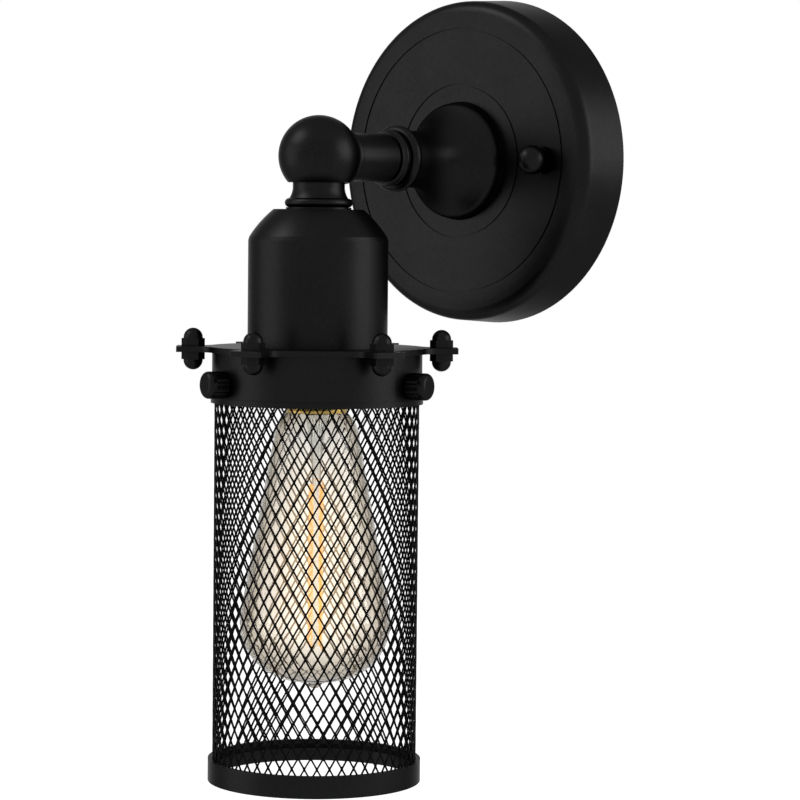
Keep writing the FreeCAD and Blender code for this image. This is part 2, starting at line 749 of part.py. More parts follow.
def star_plate():
    """Flat plate with six arms: straight sides, hollow corners and a hole for the socket."""
    half = STAR_ARM_W / 2
    side = half + STAR_FILLET
    out = math.sqrt((STAR_BODY_R + STAR_FILLET) ** 2 - side ** 2)
    swing = math.atan2(side, out)
    bisector = (swing + math.pi / 2) / 2
    root = (STAR_BODY_R * math.cos(swing), STAR_BODY_R * math.sin(swing))
    middle = (out - STAR_FILLET * math.cos(bisector), side - STAR_FILLET * math.sin(bisector))

    def place(along, sideways, angle):
        return Vector(
            along * math.cos(angle) - sideways * math.sin(angle),
            along * math.sin(angle) + sideways * math.cos(angle),
            STAR_FOOT,
        )

    edges = []
    for arm in range(STAR_ARMS):
        angle = 2 * math.pi * arm / STAR_ARMS
        right = [place(root[0], -root[1], angle), place(middle[0], -middle[1], angle)]
        left = [place(middle[0], middle[1], angle), place(root[0], root[1], angle)]
        corners = [
            place(out, -half, angle),
            place(STAR_TIP, -half, angle),
            place(STAR_TIP, half, angle),
            place(out, half, angle),
        ]
        edges.append(Part.Arc(right[0], right[1], corners[0]).toShape())
        for start, end in zip(corners, corners[1:]):
            edges.append(Part.LineSegment(start, end).toShape())
        edges.append(Part.Arc(corners[3], left[0], left[1]).toShape())
        next_angle = angle + 2 * math.pi / STAR_ARMS
        between = place(STAR_BODY_R, 0, (angle + next_angle) / 2)
        edges.append(Part.Arc(left[1], between, place(root[0], -root[1], next_angle)).toShape())
    plate = Part.Face(Part.Wire(edges)).extrude(Vector(0, 0, STAR_T))
    tips = [edge for edge in plate.Edges if is_upright_at(edge, math.hypot(STAR_TIP, half))]
    plate = plate.makeFillet(STAR_CORNER, tips)
    plate = plate.cut(rod(SOCKET_R + HOLE_GAP, STAR_FOOT - CUT, STAR_TOP + CUT))
    hole = across(rod(STUD_R + THREAD_GAP, STAR_FOOT - CUT, STAR_TOP + CUT), STAR_NUT_AT)
    for cutter in around(hole, STAR_ARMS):
        plate = plate.cut(cutter)
    plate.rotate(Vector(0, 0, 0), Vector(0, 0, 1), STAR_TURN)
    return on_lamp(plate)


def is_upright_at(edge, radius):
    """Whether an edge stands along Z at this distance from the axis."""
    ends = [vertex.Point for vertex in edge.Vertexes]
    if len(ends) < 2 or abs(ends[0].z - ends[1].z) < STAR_T / 2:
        return False
    return abs(math.hypot(ends[0].x, ends[0].y) - radius) < EDGE_MATCH


def star_set(shape):
    """Six copies of a shape about Z, one at each arm of the star plate."""
    return on_lamp(Part.Compound(around(across(shape, STAR_NUT_AT), STAR_ARMS, STAR_TURN)))


def star_studs():
    """Short studs through the arms of the star plate."""
    return star_set(rod(STUD_R, STAR_FOOT - STAR_STUD_PAST, STAR_TOP + STAR_STUD_PAST))


def cap_nut(seat, up):
    """Hexagonal nut with a dome, standing up from its seat or hanging down from it."""
    shoulder = CAP_NUT_H - CAP_NUT_DOME_R
    dome = turned([
        (0, 0),
        (CAP_NUT_DOME_R, 0),
        (CAP_NUT_DOME_R, shoulder),
        arc_to((CAP_NUT_DOME_R, shoulder), (0, CAP_NUT_H), -CAP_NUT_DOME_R),
    ])
    nut = hexagon(CAP_NUT_FLATS, 0, CAP_NUT_HEX_H).fuse(dome)
    nut = nut.cut(rod(STUD_R + THREAD_GAP, -CUT, STAR_STUD_PAST))
    if not up:
        nut.rotate(Vector(0, 0, 0), Vector(1, 0, 0), 180)
    nut.translate(Vector(0, 0, seat))
    return nut


def star_top_nuts():
    """Cap nuts on the star plate."""
    return star_set(cap_nut(STAR_TOP, True))


def star_bottom_nuts():
    """Cap nuts under the star plate."""
    return star_set(cap_nut(STAR_FOOT, False))


def thumb_angles():
    """Directions of the thumb screws, in degrees from +X."""
    return [THUMB_TURN + 360 * i / THUMB_COUNT for i in range(THUMB_COUNT)]


def at_thumb(shape, angle):
    """Lays a shape drawn about Z out from the lamp axis at a thumb screw's height and direction."""
    laid = shape.copy()
    laid.rotate(Vector(0, 0, 0), Vector(0, 1, 0), 90)
    laid.rotate(Vector(0, 0, 0), Vector(0, 0, 1), angle)
    laid.translate(Vector(0, 0, THUMB_Z))
    return laid


def fitter_ring():
    """Ring that takes the cage: a flange on top, a lip below and three threaded holes."""
    lip_top = FITTER_FOOT + FITTER_LIP_H
    ring = turned([
        (SOCKET_R + HOLE_GAP, STAR_FOOT),
        (SOCKET_R + HOLE_GAP, STAR_FOOT - FITTER_TOP),
        (FITTER_BORE_R, STAR_FOOT - FITTER_TOP),
        (FITTER_BORE_R, FITTER_FOOT),
        (FITTER_R + FITTER_LIP, FITTER_FOOT),
        (FITTER_R + FITTER_LIP, lip_top),
        (FITTER_R, lip_top),
        (FITTER_R, STAR_FOOT),
    ])
    for angle in thumb_angles():
        ring = ring.cut(at_thumb(rod(THUMB_SCREW_R + THREAD_GAP, BAND_R, FITTER_R + CUT), angle))
    return on_lamp(ring)


def shade_ring():
    """Notched ring nut on the socket, under the fitter ring's flange."""
    low = RING_NUT_TOP - RING_NUT_H
    nut = tube(RING_NUT_R, SOCKET_R + THREAD_GAP, low, RING_NUT_TOP)
    notch = across(rod(RING_NUT_NOTCH_R, low - CUT, RING_NUT_TOP + CUT), RING_NUT_R)
    for cutter in around(notch, RING_NUT_NOTCHES):
        nut = nut.cut(cutter)
    return on_lamp(nut)


def socket_cap():
    """Domed cap that screws the socket to the threaded tube."""
    top = SOCKET_TOP + SOCKET_CAP_H
    inside = SOCKET_CAP_R - SOCKET_CAP_WALL
    bore = NIPPLE_R + THREAD_GAP
    return on_lamp(turned([
        (bore, top),
        (bore, CAP_COLLAR_FOOT),
        (inside, CAP_COLLAR_FOOT - SOCKET_CAP_WALL),
        (inside, SOCKET_TOP),
        (SOCKET_CAP_R, SOCKET_TOP),
        (SOCKET_CAP_R, CAP_COLLAR_FOOT),
        (bore + SOCKET_CAP_WALL, top),
    ]))


def socket_body():
    """Insulating body of the socket: a floor, a seat flange and a threaded outside below it."""
    body = rod(SOCKET_R, SOCKET_MOUTH, SOCKET_TOP)
    body = body.fuse(rod(SOCKET_FLANGE_R, STAR_TOP, STAR_TOP + SOCKET_FLANGE_H))
    body = body.cut(rod(SOCKET_BORE_R, SOCKET_MOUTH - CUT, STAR_TOP))
    body = body.cut(rod(SOCKET_BORE_R, FLOOR_TOP, SOCKET_TOP + CUT))
    body = body.cut(rod(CONTACT_RIVET_R + THREAD_GAP, STAR_TOP - CUT, FLOOR_TOP + CUT))
    for x in (-TERMINAL_X, TERMINAL_X):
        body = body.cut(across(rod(TERMINAL_R + THREAD_GAP, STAR_TOP - CUT, FLOOR_TOP + CUT), x))
    return on_lamp(body)


def socket_screw_shell():
    """Brass shell that takes the bulb's base."""
    outside = SCREW_SHELL_R + SCREW_SHELL_WALL
    shell = tube(outside, SCREW_SHELL_R, STAR_TOP - SCREW_SHELL_L, STAR_TOP)
    return on_lamp(shell)


def socket_contact():
    """Centre contact riveted to the socket's floor."""
    return on_lamp(turned([
        (0, FLOOR_TOP),
        (0, STAR_TOP - CONTACT_H),
        (CONTACT_R - CONTACT_H, STAR_TOP - CONTACT_H),
        (CONTACT_R, STAR_TOP),
        (CONTACT_RIVET_R, STAR_TOP),
        (CONTACT_RIVET_R, FLOOR_TOP),
    ]))


def terminal_screws():
    """Two screws in the socket's floor that hold the wires."""
    screw = rod(TERMINAL_R, STAR_TOP + TERMINAL_LIFT, FLOOR_TOP)
    screw = screw.fuse(rod(TERMINAL_HEAD_R, FLOOR_TOP, FLOOR_TOP + TERMINAL_HEAD_H))
    return on_lamp(Part.Compound([across(screw, -TERMINAL_X), across(screw, TERMINAL_X)]))


def head_leads():
    """Two wires from the swivel down the neck to the socket's terminal screws."""
    start = ARM_REACH - POST_END - THRUST_GAP - STAND_OFF
    head = FLOOR_TOP + TERMINAL_HEAD_H
    below = CAP_COLLAR_FOOT - 2 * WIRE_R
    wires = []
    for side in (-1, 1):
        x = side * WIRE_X
        points = [
            Vector(x, start, 0),
            Vector(x, 0, 0),
            Vector(x, 0, below),
            Vector(side * TERMINAL_X, 0, below - TERMINAL_X),
            Vector(side * TERMINAL_X, 0, head),
        ]
        wires.append(bent_tube(points, WIRE_R, WIRE_SIDES))
    return on_lamp(Part.Compound(wires))


def thumb_screw(angle):
    """Threaded screw through the fitter ring, its tip at the cage's top band."""
    tip = BAND_R + THUMB_TIP_GAP
    end = FITTER_R + THUMB_KNOB_GAP + THUMB_SCREW_IN_KNOB
    return on_lamp(at_thumb(rod(THUMB_SCREW_R, tip, end), angle))


def thumb_knob(angle):
    """Knob of a thumb screw: a ribbed grip and a smooth rounded end."""
    low = FITTER_R + THUMB_KNOB_GAP
    grip_end = low + THUMB_RIB_L
    end = low + THUMB_KNOB_L
    smooth_r = THUMB_KNOB_R - THUMB_RIB_DEPTH
    points = []
    for i in range(2 * THUMB_RIBS + 1):
        radius = THUMB_KNOB_R if i % 2 else smooth_r
        around_z = math.pi * i / THUMB_RIBS
        points.append(Vector(radius * math.cos(around_z), radius * math.sin(around_z), low))
    grip = Part.Face(Part.makePolygon(points)).extrude(Vector(0, 0, THUMB_RIB_L))
    round_start = (THUMB_KNOB_R, end - THUMB_ROUND)
    cap = turned([
        (0, grip_end),
        (THUMB_KNOB_R, grip_end),
        round_start,
        arc_to(round_start, (THUMB_KNOB_R - THUMB_ROUND, end), -THUMB_ROUND),
        (0, end),
    ])
    bore = rod(THUMB_SCREW_R + RUN_GAP, low - CUT, low + THUMB_SCREW_IN_KNOB + THRUST_GAP)
    return on_lamp(at_thumb(grip.fuse(cap).cut(bore), angle))


def cage_top_band():
    """Plain band that slides into the fitter ring."""
    return on_lamp(tube(BAND_R, BAND_R - BAND_WALL, BAND_FOOT, BAND_TOP))


def strand(number, sense, inner):
    """One flat strand of the mesh as an open skin, with the wires of its lower and upper ends."""
    outer = inner + MESH_STRAND_T
    half = MESH_STRAND_W / 2 / inner
    low = MESH_FOOT + SELVEDGE_H
    rise = MESH_H - 2 * SELVEDGE_H
    turn = 2 * math.pi * MESH_ROWS / MESH_COUNT
    sections = []
    for step in range(MESH_STEPS + 1):
        part_way = step / MESH_STEPS
        angle = 2 * math.pi * number / MESH_COUNT + sense * turn * part_way
        corners = []
        for radius, side in ((inner, -1), (outer, -1), (outer, 1), (inner, 1)):
            at = angle + side * half
            corners.append(Vector(radius * math.cos(at), radius * math.sin(at), low + rise * part_way))
        sections.append(corners)
    faces = []
    for lower, upper in zip(sections, sections[1:]):
        for i in range(4):
            j = (i + 1) % 4
            for triangle in ((lower[i], lower[j], upper[j]), (lower[i], upper[j], upper[i])):
                faces.append(Part.Face(Part.makePolygon(triangle + triangle[:1])))
    ends = [Part.makePolygon(section + section[:1]) for section in (sections[0], sections[-1])]
    return faces, ends


def selvedge(meeting, plain, holes):
    """Skin of a plain ring at the end of the mesh, open where the strands run into it."""
    def circles(z):
        return [Part.Wire(Part.makeCircle(r, Vector(0, 0, z))) for r in (SELVEDGE_OUT_R, SELVEDGE_IN_R)]

    faces = Part.makeFace(circles(meeting) + holes, "Part::FaceMakerBullseye").Faces
    faces = faces + Part.makeFace(circles(plain), "Part::FaceMakerBullseye").Faces
    for radius in (SELVEDGE_OUT_R, SELVEDGE_IN_R):
        wall = rod(radius, min(meeting, plain), max(meeting, plain))
        faces = faces + [face for face in wall.Faces if face.Surface.TypeId == "Part::GeomCylinder"]
    return faces


def cage_mesh():
    """Diamond mesh in one piece: strands that wind both ways, run into a ring at each end."""
    faces = []
    foot_holes = []
    top_holes = []
    outer_layer = MESH_IN_R + MESH_STRAND_T + MESH_LAYER_GAP
    for number in range(MESH_COUNT):
        for sense, inner in ((-1, MESH_IN_R), (1, outer_layer)):
            skin, ends = strand(number, sense, inner)
            faces = faces + skin
            foot_holes.append(ends[0])
            top_holes.append(ends[1])
    faces = faces + selvedge(MESH_FOOT + SELVEDGE_H, MESH_FOOT, foot_holes)
    faces = faces + selvedge(BAND_FOOT - SELVEDGE_H, BAND_FOOT, top_holes)
    skin = Part.Compound(faces)
    skin.sewShape(MESH_JOIN)
    solid = Part.makeSolid(skin.Shells[0])
    if solid.Volume < 0:
        solid.reverse()
    return on_lamp(solid)


def cage_bottom_band():
    """Bottom band: a seat for the mesh above a thin shelf, and an open hem below."""
    seat_r = SELVEDGE_OUT_R + THREAD_GAP
    low = HEM_TOP - HEM_H
    return on_lamp(turned([
        (seat_r, HEM_TOP),
        (seat_r, MESH_FOOT),
        (HEM_SHELF_R, MESH_FOOT),
        (HEM_SHELF_R, MESH_FOOT - HEM_SHELF_H),
        (HEM_R - HEM_WALL, MESH_FOOT - HEM_SHELF_H),
        (HEM_R - HEM_WALL, low),
        (HEM_R, low),
        (HEM_R, HEM_TOP),
    ]))


def bulb_centre_contact():
    """Soldered tip of the bulb's base."""
    return on_lamp(turned([
        (0, BASE_TOP),
        (BULB_TIP_R, BASE_TOP),
        (BULB_TIP_R, BULB_TIP - BULB_TIP_BEVEL),
        (BULB_TIP_R - BULB_TIP_BEVEL, BULB_TIP),
        (0, BULB_TIP),
    ]))


def bulb_base_insulator():
    """Black glass cone round the tip of the base."""
    bore = BULB_TIP_R + RUN_GAP
    return on_lamp(turned([
        (bore, BASE_TOP),
        (BASE_BORE_R, BASE_TOP),
        (BULB_TIP_R + BULB_CONE_H, BASE_TOP + BULB_CONE_H),
        (bore, BASE_TOP + BULB_CONE_H),
    ]))


def bulb_base_shell():
    """Brass shell of the bulb's base."""
    return on_lamp(tube(BULB_BASE_R, BASE_BORE_R, BASE_RIM, BASE_TOP))


def glass_surface():
    """Outside of the glass, from inside the base down to its crown."""
    end_r = BULB_GLASS_R - BULB_END
    end_z = BASE_RIM - BULB_WIDE_DROP
    flare = (BULB_FLARE_R, BASE_RIM - BULB_FLARE_H)
    away = math.dist(flare, (end_r, end_z))
    lean = math.atan2(end_r - flare[0], flare[1] - end_z) + math.asin(BULB_END / away)
    cone_foot = (end_r + BULB_END * math.cos(lean), end_z + BULB_END * math.sin(lean))
    turn = math.radians(BULB_END_TURN)
    crown = (end_r + BULB_END * math.cos(turn), end_z - BULB_END * math.sin(turn))
    return [
        (BULB_NECK_R, BASE_RIM + BULB_NECK_IN),
        (BULB_NECK_R, BASE_RIM),
        flare + (BULB_FLARE_BOW,),
        cone_foot,
        arc_to(cone_foot, crown, BULB_END),
    ]


def bulb_glass():
    """Hollow glass, open at the neck inside the base, with a pip on its crown."""
    surface = glass_surface()
    top = surface[0][1]
    low = surface[-1][1] - BULB_CROWN_DROP
    pip = (BULB_PIP_R, low)
    pip_ball = (BULB_PIP_R ** 2 + BULB_PIP_H ** 2) / (2 * BULB_PIP_H)
    outside = turned(surface + [pip, arc_to(pip, (0, low - BULB_PIP_H), pip_ball), (0, top)])
    inside = turned(inset(surface + [(0, low)], BULB_GLASS_WALL) + [(0, top)])
    return on_lamp(outside.cut(inside))


def support_wires(radius):
    """Two wires out of the stem's cone, in to the ends of the filament."""
    drops = (SUPPORT_TOP, SUPPORT_BEND, SUPPORT_STRAIGHT, FILAMENT_TOP)
    places = (SUPPORT_AT, SUPPORT_AT, FILAMENT_AT, FILAMENT_AT)
    points = [Vector(x, 0, BASE_RIM - drop) for x, drop in zip(places, drops)]
    wire = bent_tube(points, radius, FILAMENT_SIDES)
    other = wire.copy()
    other.rotate(Vector(0, 0, 0), Vector(0, 0, 1), -90)
    return [wire, other]


def bulb_stem():
    """Glass stem: a flare that closes the neck, a cone and a long thin rod."""
    top = BASE_RIM + BULB_NECK_IN
    edge = BULB_NECK_R - BULB_GLASS_WALL - THREAD_GAP
    stem = turned([
        (0, top),
        (0, BASE_RIM - STEM_L),
        (STEM_TIP_R, BASE_RIM - STEM_L),
        (STEM_TIP_R, BASE_RIM - STEM_CONE_DROP),
        (STEM_R, BASE_RIM - STEM_TIP_R),
        (edge, top - STEM_FLARE_H),
        (edge, top),
    ])
    for wire in support_wires(SUPPORT_R + THREAD_GAP):
        stem = stem.cut(wire)
    return on_lamp(stem)


def bulb_supports():
    """Two stiff wires that carry the ends of the filament."""
    return on_lamp(Part.Compound(support_wires(SUPPORT_R)))


def bulb_filament():
    """Hairpin filament: four upright legs round the stem, joined in turn below and above."""
    top = BASE_RIM - FILAMENT_TOP
    foot = top - FILAMENT_L
    loop = FILAMENT_AT / math.sqrt(2)
    legs = []
    for quarter in range(4):
        angle = math.pi * quarter / 2
        legs.append(Vector(FILAMENT_AT * math.cos(angle), FILAMENT_AT * math.sin(angle), 0))
    path = []
    for number, leg in enumerate(legs):
        ends = (foot, top) if number % 2 else (top, foot)
        low = leg + Vector(0, 0, ends[0])
        high = leg + Vector(0, 0, ends[1])
        path.append(Part.LineSegment(low, high).toShape())
        if number < 3:
            across_to = legs[number + 1] + Vector(0, 0, ends[1])
            bow = math.copysign(loop, ends[1] - ends[0])
            path.append(Part.Arc(high, (high + across_to) / 2 + Vector(0, 0, bow), across_to).toShape())
    start = legs[0] + Vector(0, 0, top)
    return on_lamp(swept(Part.Wire(path), start, Vector(0, 0, -1), FILAMENT_R, FILAMENT_SIDES))


PIECES = {
    "backplate": backplate,
    "crossbar": crossbar,
    "ground_screw": ground_screw,
    "mounting_studs": mounting_studs,
    "ball_nuts": ball_nuts,
    "arm_nipple": arm_nipple,
    "arm_lock_washer": arm_lock_washer,
    "arm_nipple_nut": arm_nipple_nut,
    "arm_flange": arm_flange,
    "arm_check_ring": arm_check_ring,
    "arm_tube": arm_tube,
    "arm_base_bushing": arm_base_bushing,
    "arm_end_collar": arm_end_collar,
    "swivel_post": swivel_post,
    "swivel_washer": swivel_washer,
    "swivel_nut": swivel_nut,
    "arm_leads": arm_leads,
    "swivel_ball": swivel_ball,
    "neck": neck,
    "neck_check_ring": neck_check_ring,
    "neck_nipple": neck_nipple,
    "cup": cup,
    "cup_washer": cup_washer,
    "cup_nut": cup_nut,
    "star_plate": star_plate,
    "star_studs": star_studs,
    "star_top_nuts": star_top_nuts,
    "star_bottom_nuts": star_bottom_nuts,
    "fitter_ring": fitter_ring,
    "shade_ring": shade_ring,
    "socket_cap": socket_cap,
    "socket_body": socket_body,
    "socket_screw_shell": socket_screw_shell,
    "socket_contact": socket_contact,
    "terminal_screws": terminal_screws,
    "head_leads": head_leads,
    "cage_top_band": cage_top_band,
    "cage_mesh": cage_mesh,
    "cage_bottom_band": cage_bottom_band,
    "bulb_centre_contact": bulb_centre_contact,
    "bulb_base_insulator": bulb_base_insulator,
    "bulb_base_shell": bulb_base_shell,
    "bulb_glass": bulb_glass,
    "bulb_stem": bulb_stem,
    "bulb_supports": bulb_supports,
    "bulb_filament": bulb_filament,
}


def main():
    """Writes one STEP file per piece."""
    os.makedirs("parts", exist_ok=True)
    for name, make in PIECES.items():
        make().exportStep(f"parts/{name}.step")
    for number, angle in enumerate(thumb_angles(), 1):
        thumb_screw(angle).exportStep(f"parts/thumb_screw_{number}.step")
        thumb_knob(angle).exportStep(f"parts/thumb_knob_{number}.step")


main()
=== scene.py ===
import json
import math

import bpy
from mathutils import Matrix, Vector


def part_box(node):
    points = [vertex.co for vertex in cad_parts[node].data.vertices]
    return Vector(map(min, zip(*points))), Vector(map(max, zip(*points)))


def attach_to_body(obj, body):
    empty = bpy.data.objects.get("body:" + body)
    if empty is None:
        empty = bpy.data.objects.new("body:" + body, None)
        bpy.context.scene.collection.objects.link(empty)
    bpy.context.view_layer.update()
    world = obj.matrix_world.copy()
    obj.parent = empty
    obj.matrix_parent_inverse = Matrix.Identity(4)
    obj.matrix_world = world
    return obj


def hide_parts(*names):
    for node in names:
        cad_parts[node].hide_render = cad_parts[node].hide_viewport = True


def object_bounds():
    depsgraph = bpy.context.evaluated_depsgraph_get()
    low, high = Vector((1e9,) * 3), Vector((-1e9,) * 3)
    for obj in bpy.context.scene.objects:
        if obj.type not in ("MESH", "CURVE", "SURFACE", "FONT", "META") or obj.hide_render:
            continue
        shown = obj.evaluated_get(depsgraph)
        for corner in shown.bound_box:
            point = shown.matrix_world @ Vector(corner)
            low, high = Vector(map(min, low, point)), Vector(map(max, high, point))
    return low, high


# A wall light in satin black: round pan, arm and ball, cup, plate with six bolted corners, and a
# cage of diamond mesh round a glowing pear-shaped bulb. Metres, in the frame of the solids: the
# wall is the plane y = 0, +Z is up, and the light stands out towards -Y.

MM = 0.001
BLACK = (0.0, 0.0, 0.0)
WHITE = (1.0, 1.0, 1.0)

# Camera, at the photograph's viewpoint. Angles in degrees.
CAMERA_AT = (0.84396, -1.00797, -0.02837)
CAMERA_YAW = 41.7484
CAMERA_PITCH = -3.3791
CAMERA_ROLL = 0.58466
CAMERA_LENS = 133.094
CAMERA_SENSOR = 36.0

# Floor and surroundings. These rays see both as white; all others get the room's dim light.
SEEN_BY = ["Is Camera Ray", "Is Glossy Ray", "Is Transmission Ray"]
ROOM_LIGHT = 0.45
FLOOR_DROP = 0.55        # floor below the lowest point of the light
FLOOR_SIZE = 14.0
FLOOR_SHADE = 0.35       # paint that the lamps light, on top of the floor's own white
FLOOR_ROUGH = 0.9
FLOOR_NEAR = 0.8         # the floor's own white at its centre, where the shadow falls
FLOOR_FAR = 3.0          # distance at which the floor's own white is full

# Lamps: name, place, point that it faces, side of its square, watts.
LAMPS = [
    ("key", (-0.85, -1.1, 1.2), (0.0, -0.1, -0.1), 0.8, 13.0),
    ("front", (-1.45, -1.65, 0.05), (0.0, -0.1, -0.05), 1.5, 12.0),
    ("side", (1.45, 0.85, 0.40), (0.0, -0.05, -0.05), 1.2, 18.0),
]

# Smooth shading stays sharp where faces meet at more than this many degrees.
SHARP_ANGLE = 32.0
THREAD_SHARP_ANGLE = 60.0

# Cage mesh: one pierced sheet.
MESH_COUNT = 52          # diamonds round the cage
MESH_ROWS = 17           # diamonds from top to bottom
MESH_EDGE = 1.5 * MM     # plain edge at each end
STRAND_W = 0.78 * MM     # width of a strand, measured level
CORNER_CUT = 0.10        # share of a diamond's side that its rounded corners take
SHEET_T = 0.45 * MM
SAME_POINT = 0.001 * MM  # points nearer than this become one

# Thread of the bulb's base.
THREAD_PITCH = 3.63 * MM
THREAD_DEPTH = 0.5 * MM
THREAD_T = 0.3 * MM      # thickness of the rolled shell
THREAD_STEPS = 96
THREAD_RINGS = 14        # rings of points in one pitch

# Coiled wire of the filament.
LEGS = 4
LEG_AT = 3.0 * MM        # leg to the lamp axis
COIL_R = 0.95 * MM
COIL_PITCH = 0.75 * MM
COIL_STEPS = 8           # points in a turn
COIL_WIRE_R = 0.14 * MM
LOOP_STEPS = 8           # steps in the plain loop from one leg to the next

# Coat: its colours, the share of the specks, and the tint of its shine at a glancing angle. The
# ramps below are (position, colour) stops.
COAT_BODY = [(0.30, (0.0094, 0.0094, 0.0097)), (0.70, (0.0120, 0.0120, 0.0123))]
COAT_SPECKS = [(0.30, (0.0080, 0.0080, 0.0082)), (0.75, (0.0160, 0.0159, 0.0157))]
COAT_GRAIN = [(0.35, (0.15, 0.15, 0.15)), (0.65, (0.45, 0.45, 0.45))]
COAT_EDGE = (0.5, 0.5, 0.5, 1.0)
MESH_BODY = [(0.3, (0.0030, 0.0030, 0.0030)), (0.7, (0.0065, 0.0065, 0.0065))]

# Bulb's glass, by how far it turns away: its tint, and a painted glow that stands in for the light
# it scatters.
GLASS_BLEND = 0.35
GLASS_IOR = 1.40
GLASS_TINT = [
    (0.0, (0.87, 0.86, 0.83)),
    (0.10, (0.81, 0.785, 0.74)),
    (0.30, (0.68, 0.64, 0.57)),
    (0.56, (0.50, 0.45, 0.37)),
]
# painted glow of the glass: emission colour, strongest where the glass faces the eye
GLASS_PAINTED_GLOW = [(0.0, (0.130, 0.094, 0.054)), (0.09, (0.070, 0.049, 0.026)), (0.20, BLACK)]
PAINTED_GLOW_REACH = 0.052       # the painted glow ends this far above and below the filament's middle
PAINTED_GLOW_BY_HEIGHT = [(0.0, BLACK), (0.30, WHITE), (0.65, WHITE), (1.0, BLACK)]

# Stem and filament.
STEM_TINT = (0.93, 0.95, 0.94, 1.0)
STEM_IOR = 1.30
WIRE_HEAT = [(0.3, (0.90, 0.34, 0.035)), (0.7, (0.95, 0.46, 0.075))]
WIRE_COLOUR = (0.25, 0.12, 0.05, 1.0)
WIRE_GLOW = 1.2

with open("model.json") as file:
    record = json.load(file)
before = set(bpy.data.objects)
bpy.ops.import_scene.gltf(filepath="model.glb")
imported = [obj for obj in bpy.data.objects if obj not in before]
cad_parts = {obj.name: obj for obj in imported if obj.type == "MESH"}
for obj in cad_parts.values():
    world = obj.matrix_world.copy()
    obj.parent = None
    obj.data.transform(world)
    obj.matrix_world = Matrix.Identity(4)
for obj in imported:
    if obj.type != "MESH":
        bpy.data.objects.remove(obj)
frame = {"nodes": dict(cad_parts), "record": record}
cad_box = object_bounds()
nodes = frame["nodes"]


# ---------------------------------------------------------------- materials

def new_material(name):
    """An empty node material with its shader and output."""
    material = bpy.data.materials.new(name)
    material.use_nodes = True
    tree = material.node_tree
    tree.nodes.clear()
    output = tree.nodes.new("ShaderNodeOutputMaterial")
    shader = tree.nodes.new("ShaderNodeBsdfPrincipled")
    tree.links.new(shader.outputs["BSDF"], output.inputs["Surface"])
    return material, tree, shader


def own_place(tree):
    """The object's own coordinates."""
    return tree.nodes.new("ShaderNodeTexCoord").outputs["Object"]


def noise(tree, scale, detail=3.0, stretch=(1.0, 1.0, 1.0)):
    """Noise over the object's own coordinates, scale in features per metre."""
    mapping = tree.nodes.new("ShaderNodeMapping")
    mapping.inputs["Scale"].default_value = stretch
    texture = tree.nodes.new("ShaderNodeTexNoise")
    texture.inputs["Scale"].default_value = scale
    texture.inputs["Detail"].default_value = detail
    tree.links.new(own_place(tree), mapping.inputs["Vector"])
    tree.links.new(mapping.outputs["Vector"], texture.inputs["Vector"])
    return texture.outputs["Fac"]


def ramp(tree, value, stops):
    """Colour ramp through (position, colour) stops."""
    node = tree.nodes.new("ShaderNodeValToRGB")
    points = node.color_ramp.elements
    while len(points) < len(stops):
        points.new(0.5)
    for point, (position, colour) in zip(points, stops):
        point.position = position
        point.color = (*colour, 1.0)
    tree.links.new(value, node.inputs["Fac"])
    return node.outputs["Color"]


def spread(tree, value, low, high, start=0.0, end=1.0):
    """A value from start to end spread over low to high."""
    node = tree.nodes.new("ShaderNodeMapRange")
    node.inputs["From Min"].default_value = start
    node.inputs["From Max"].default_value = end
    node.inputs["To Min"].default_value = low
    node.inputs["To Max"].default_value = high
    tree.links.new(value, node.inputs["Value"])
    return node.outputs["Result"]


def joined(tree, operation, first, second):
    """Two values put together by a math operation."""
    node = tree.nodes.new("ShaderNodeMath")
    node.operation = operation
    tree.links.new(first, node.inputs[0])
    tree.links.new(second, node.inputs[1])
    return node.outputs["Value"]


def bump(tree, shader, height, strength, distance):
    """Bump from a height on the shader's normal."""
    node = tree.nodes.new("ShaderNodeBump")
    node.inputs["Strength"].default_value = strength
    node.inputs["Distance"].default_value = distance
    tree.links.new(height, node.inputs["Height"])
    tree.links.new(node.outputs["Normal"], shader.inputs["Normal"])


def mixed(tree, share, first, second):
    """Two colours mixed by a share."""
    node = tree.nodes.new("ShaderNodeMix")
    node.data_type = "RGBA"
    tree.links.new(share, node.inputs["Factor"])
    tree.links.new(first, node.inputs["A"])
    tree.links.new(second, node.inputs["B"])
    return node.outputs["Result"]


def black_coat():
    """Baked satin black: soft mottling, a fine lighter grain and a little orange peel."""
    material, tree, shader = new_material("black_coat")
    mottle = ramp(tree, noise(tree, scale=42.0, detail=4.0), COAT_BODY)
    specks = ramp(tree, noise(tree, scale=900.0), COAT_SPECKS)
    grain = ramp(tree, noise(tree, scale=260.0, detail=4.0), COAT_GRAIN)
    tree.links.new(mixed(tree, grain, mottle, specks), shader.inputs["Base Color"])
    rough = spread(tree, noise(tree, scale=90.0), low=0.34, high=0.39)
    tree.links.new(rough, shader.inputs["Roughness"])
    shader.inputs["Metallic"].default_value = 1.0
    shader.inputs["Specular Tint"].default_value = COAT_EDGE
    bump(tree, shader, noise(tree, scale=1500.0, detail=2.0), strength=0.10, distance=0.10 * MM)
    return material


def black_mesh():
    """The coat on the pierced sheet, a little duller and deeper."""
    material, tree, shader = new_material("black_mesh")
    tree.links.new(ramp(tree, noise(tree, scale=300.0), MESH_BODY), shader.inputs["Base Color"])
    rough = spread(tree, noise(tree, scale=120.0), low=0.45, high=0.6)
    tree.links.new(rough, shader.inputs["Roughness"])
    shader.inputs["Metallic"].default_value = 1.0
    shader.inputs["Specular Tint"].default_value = COAT_EDGE
    bump(tree, shader, noise(tree, scale=2500.0, detail=2.0), strength=0.15, distance=0.06 * MM)
    return material


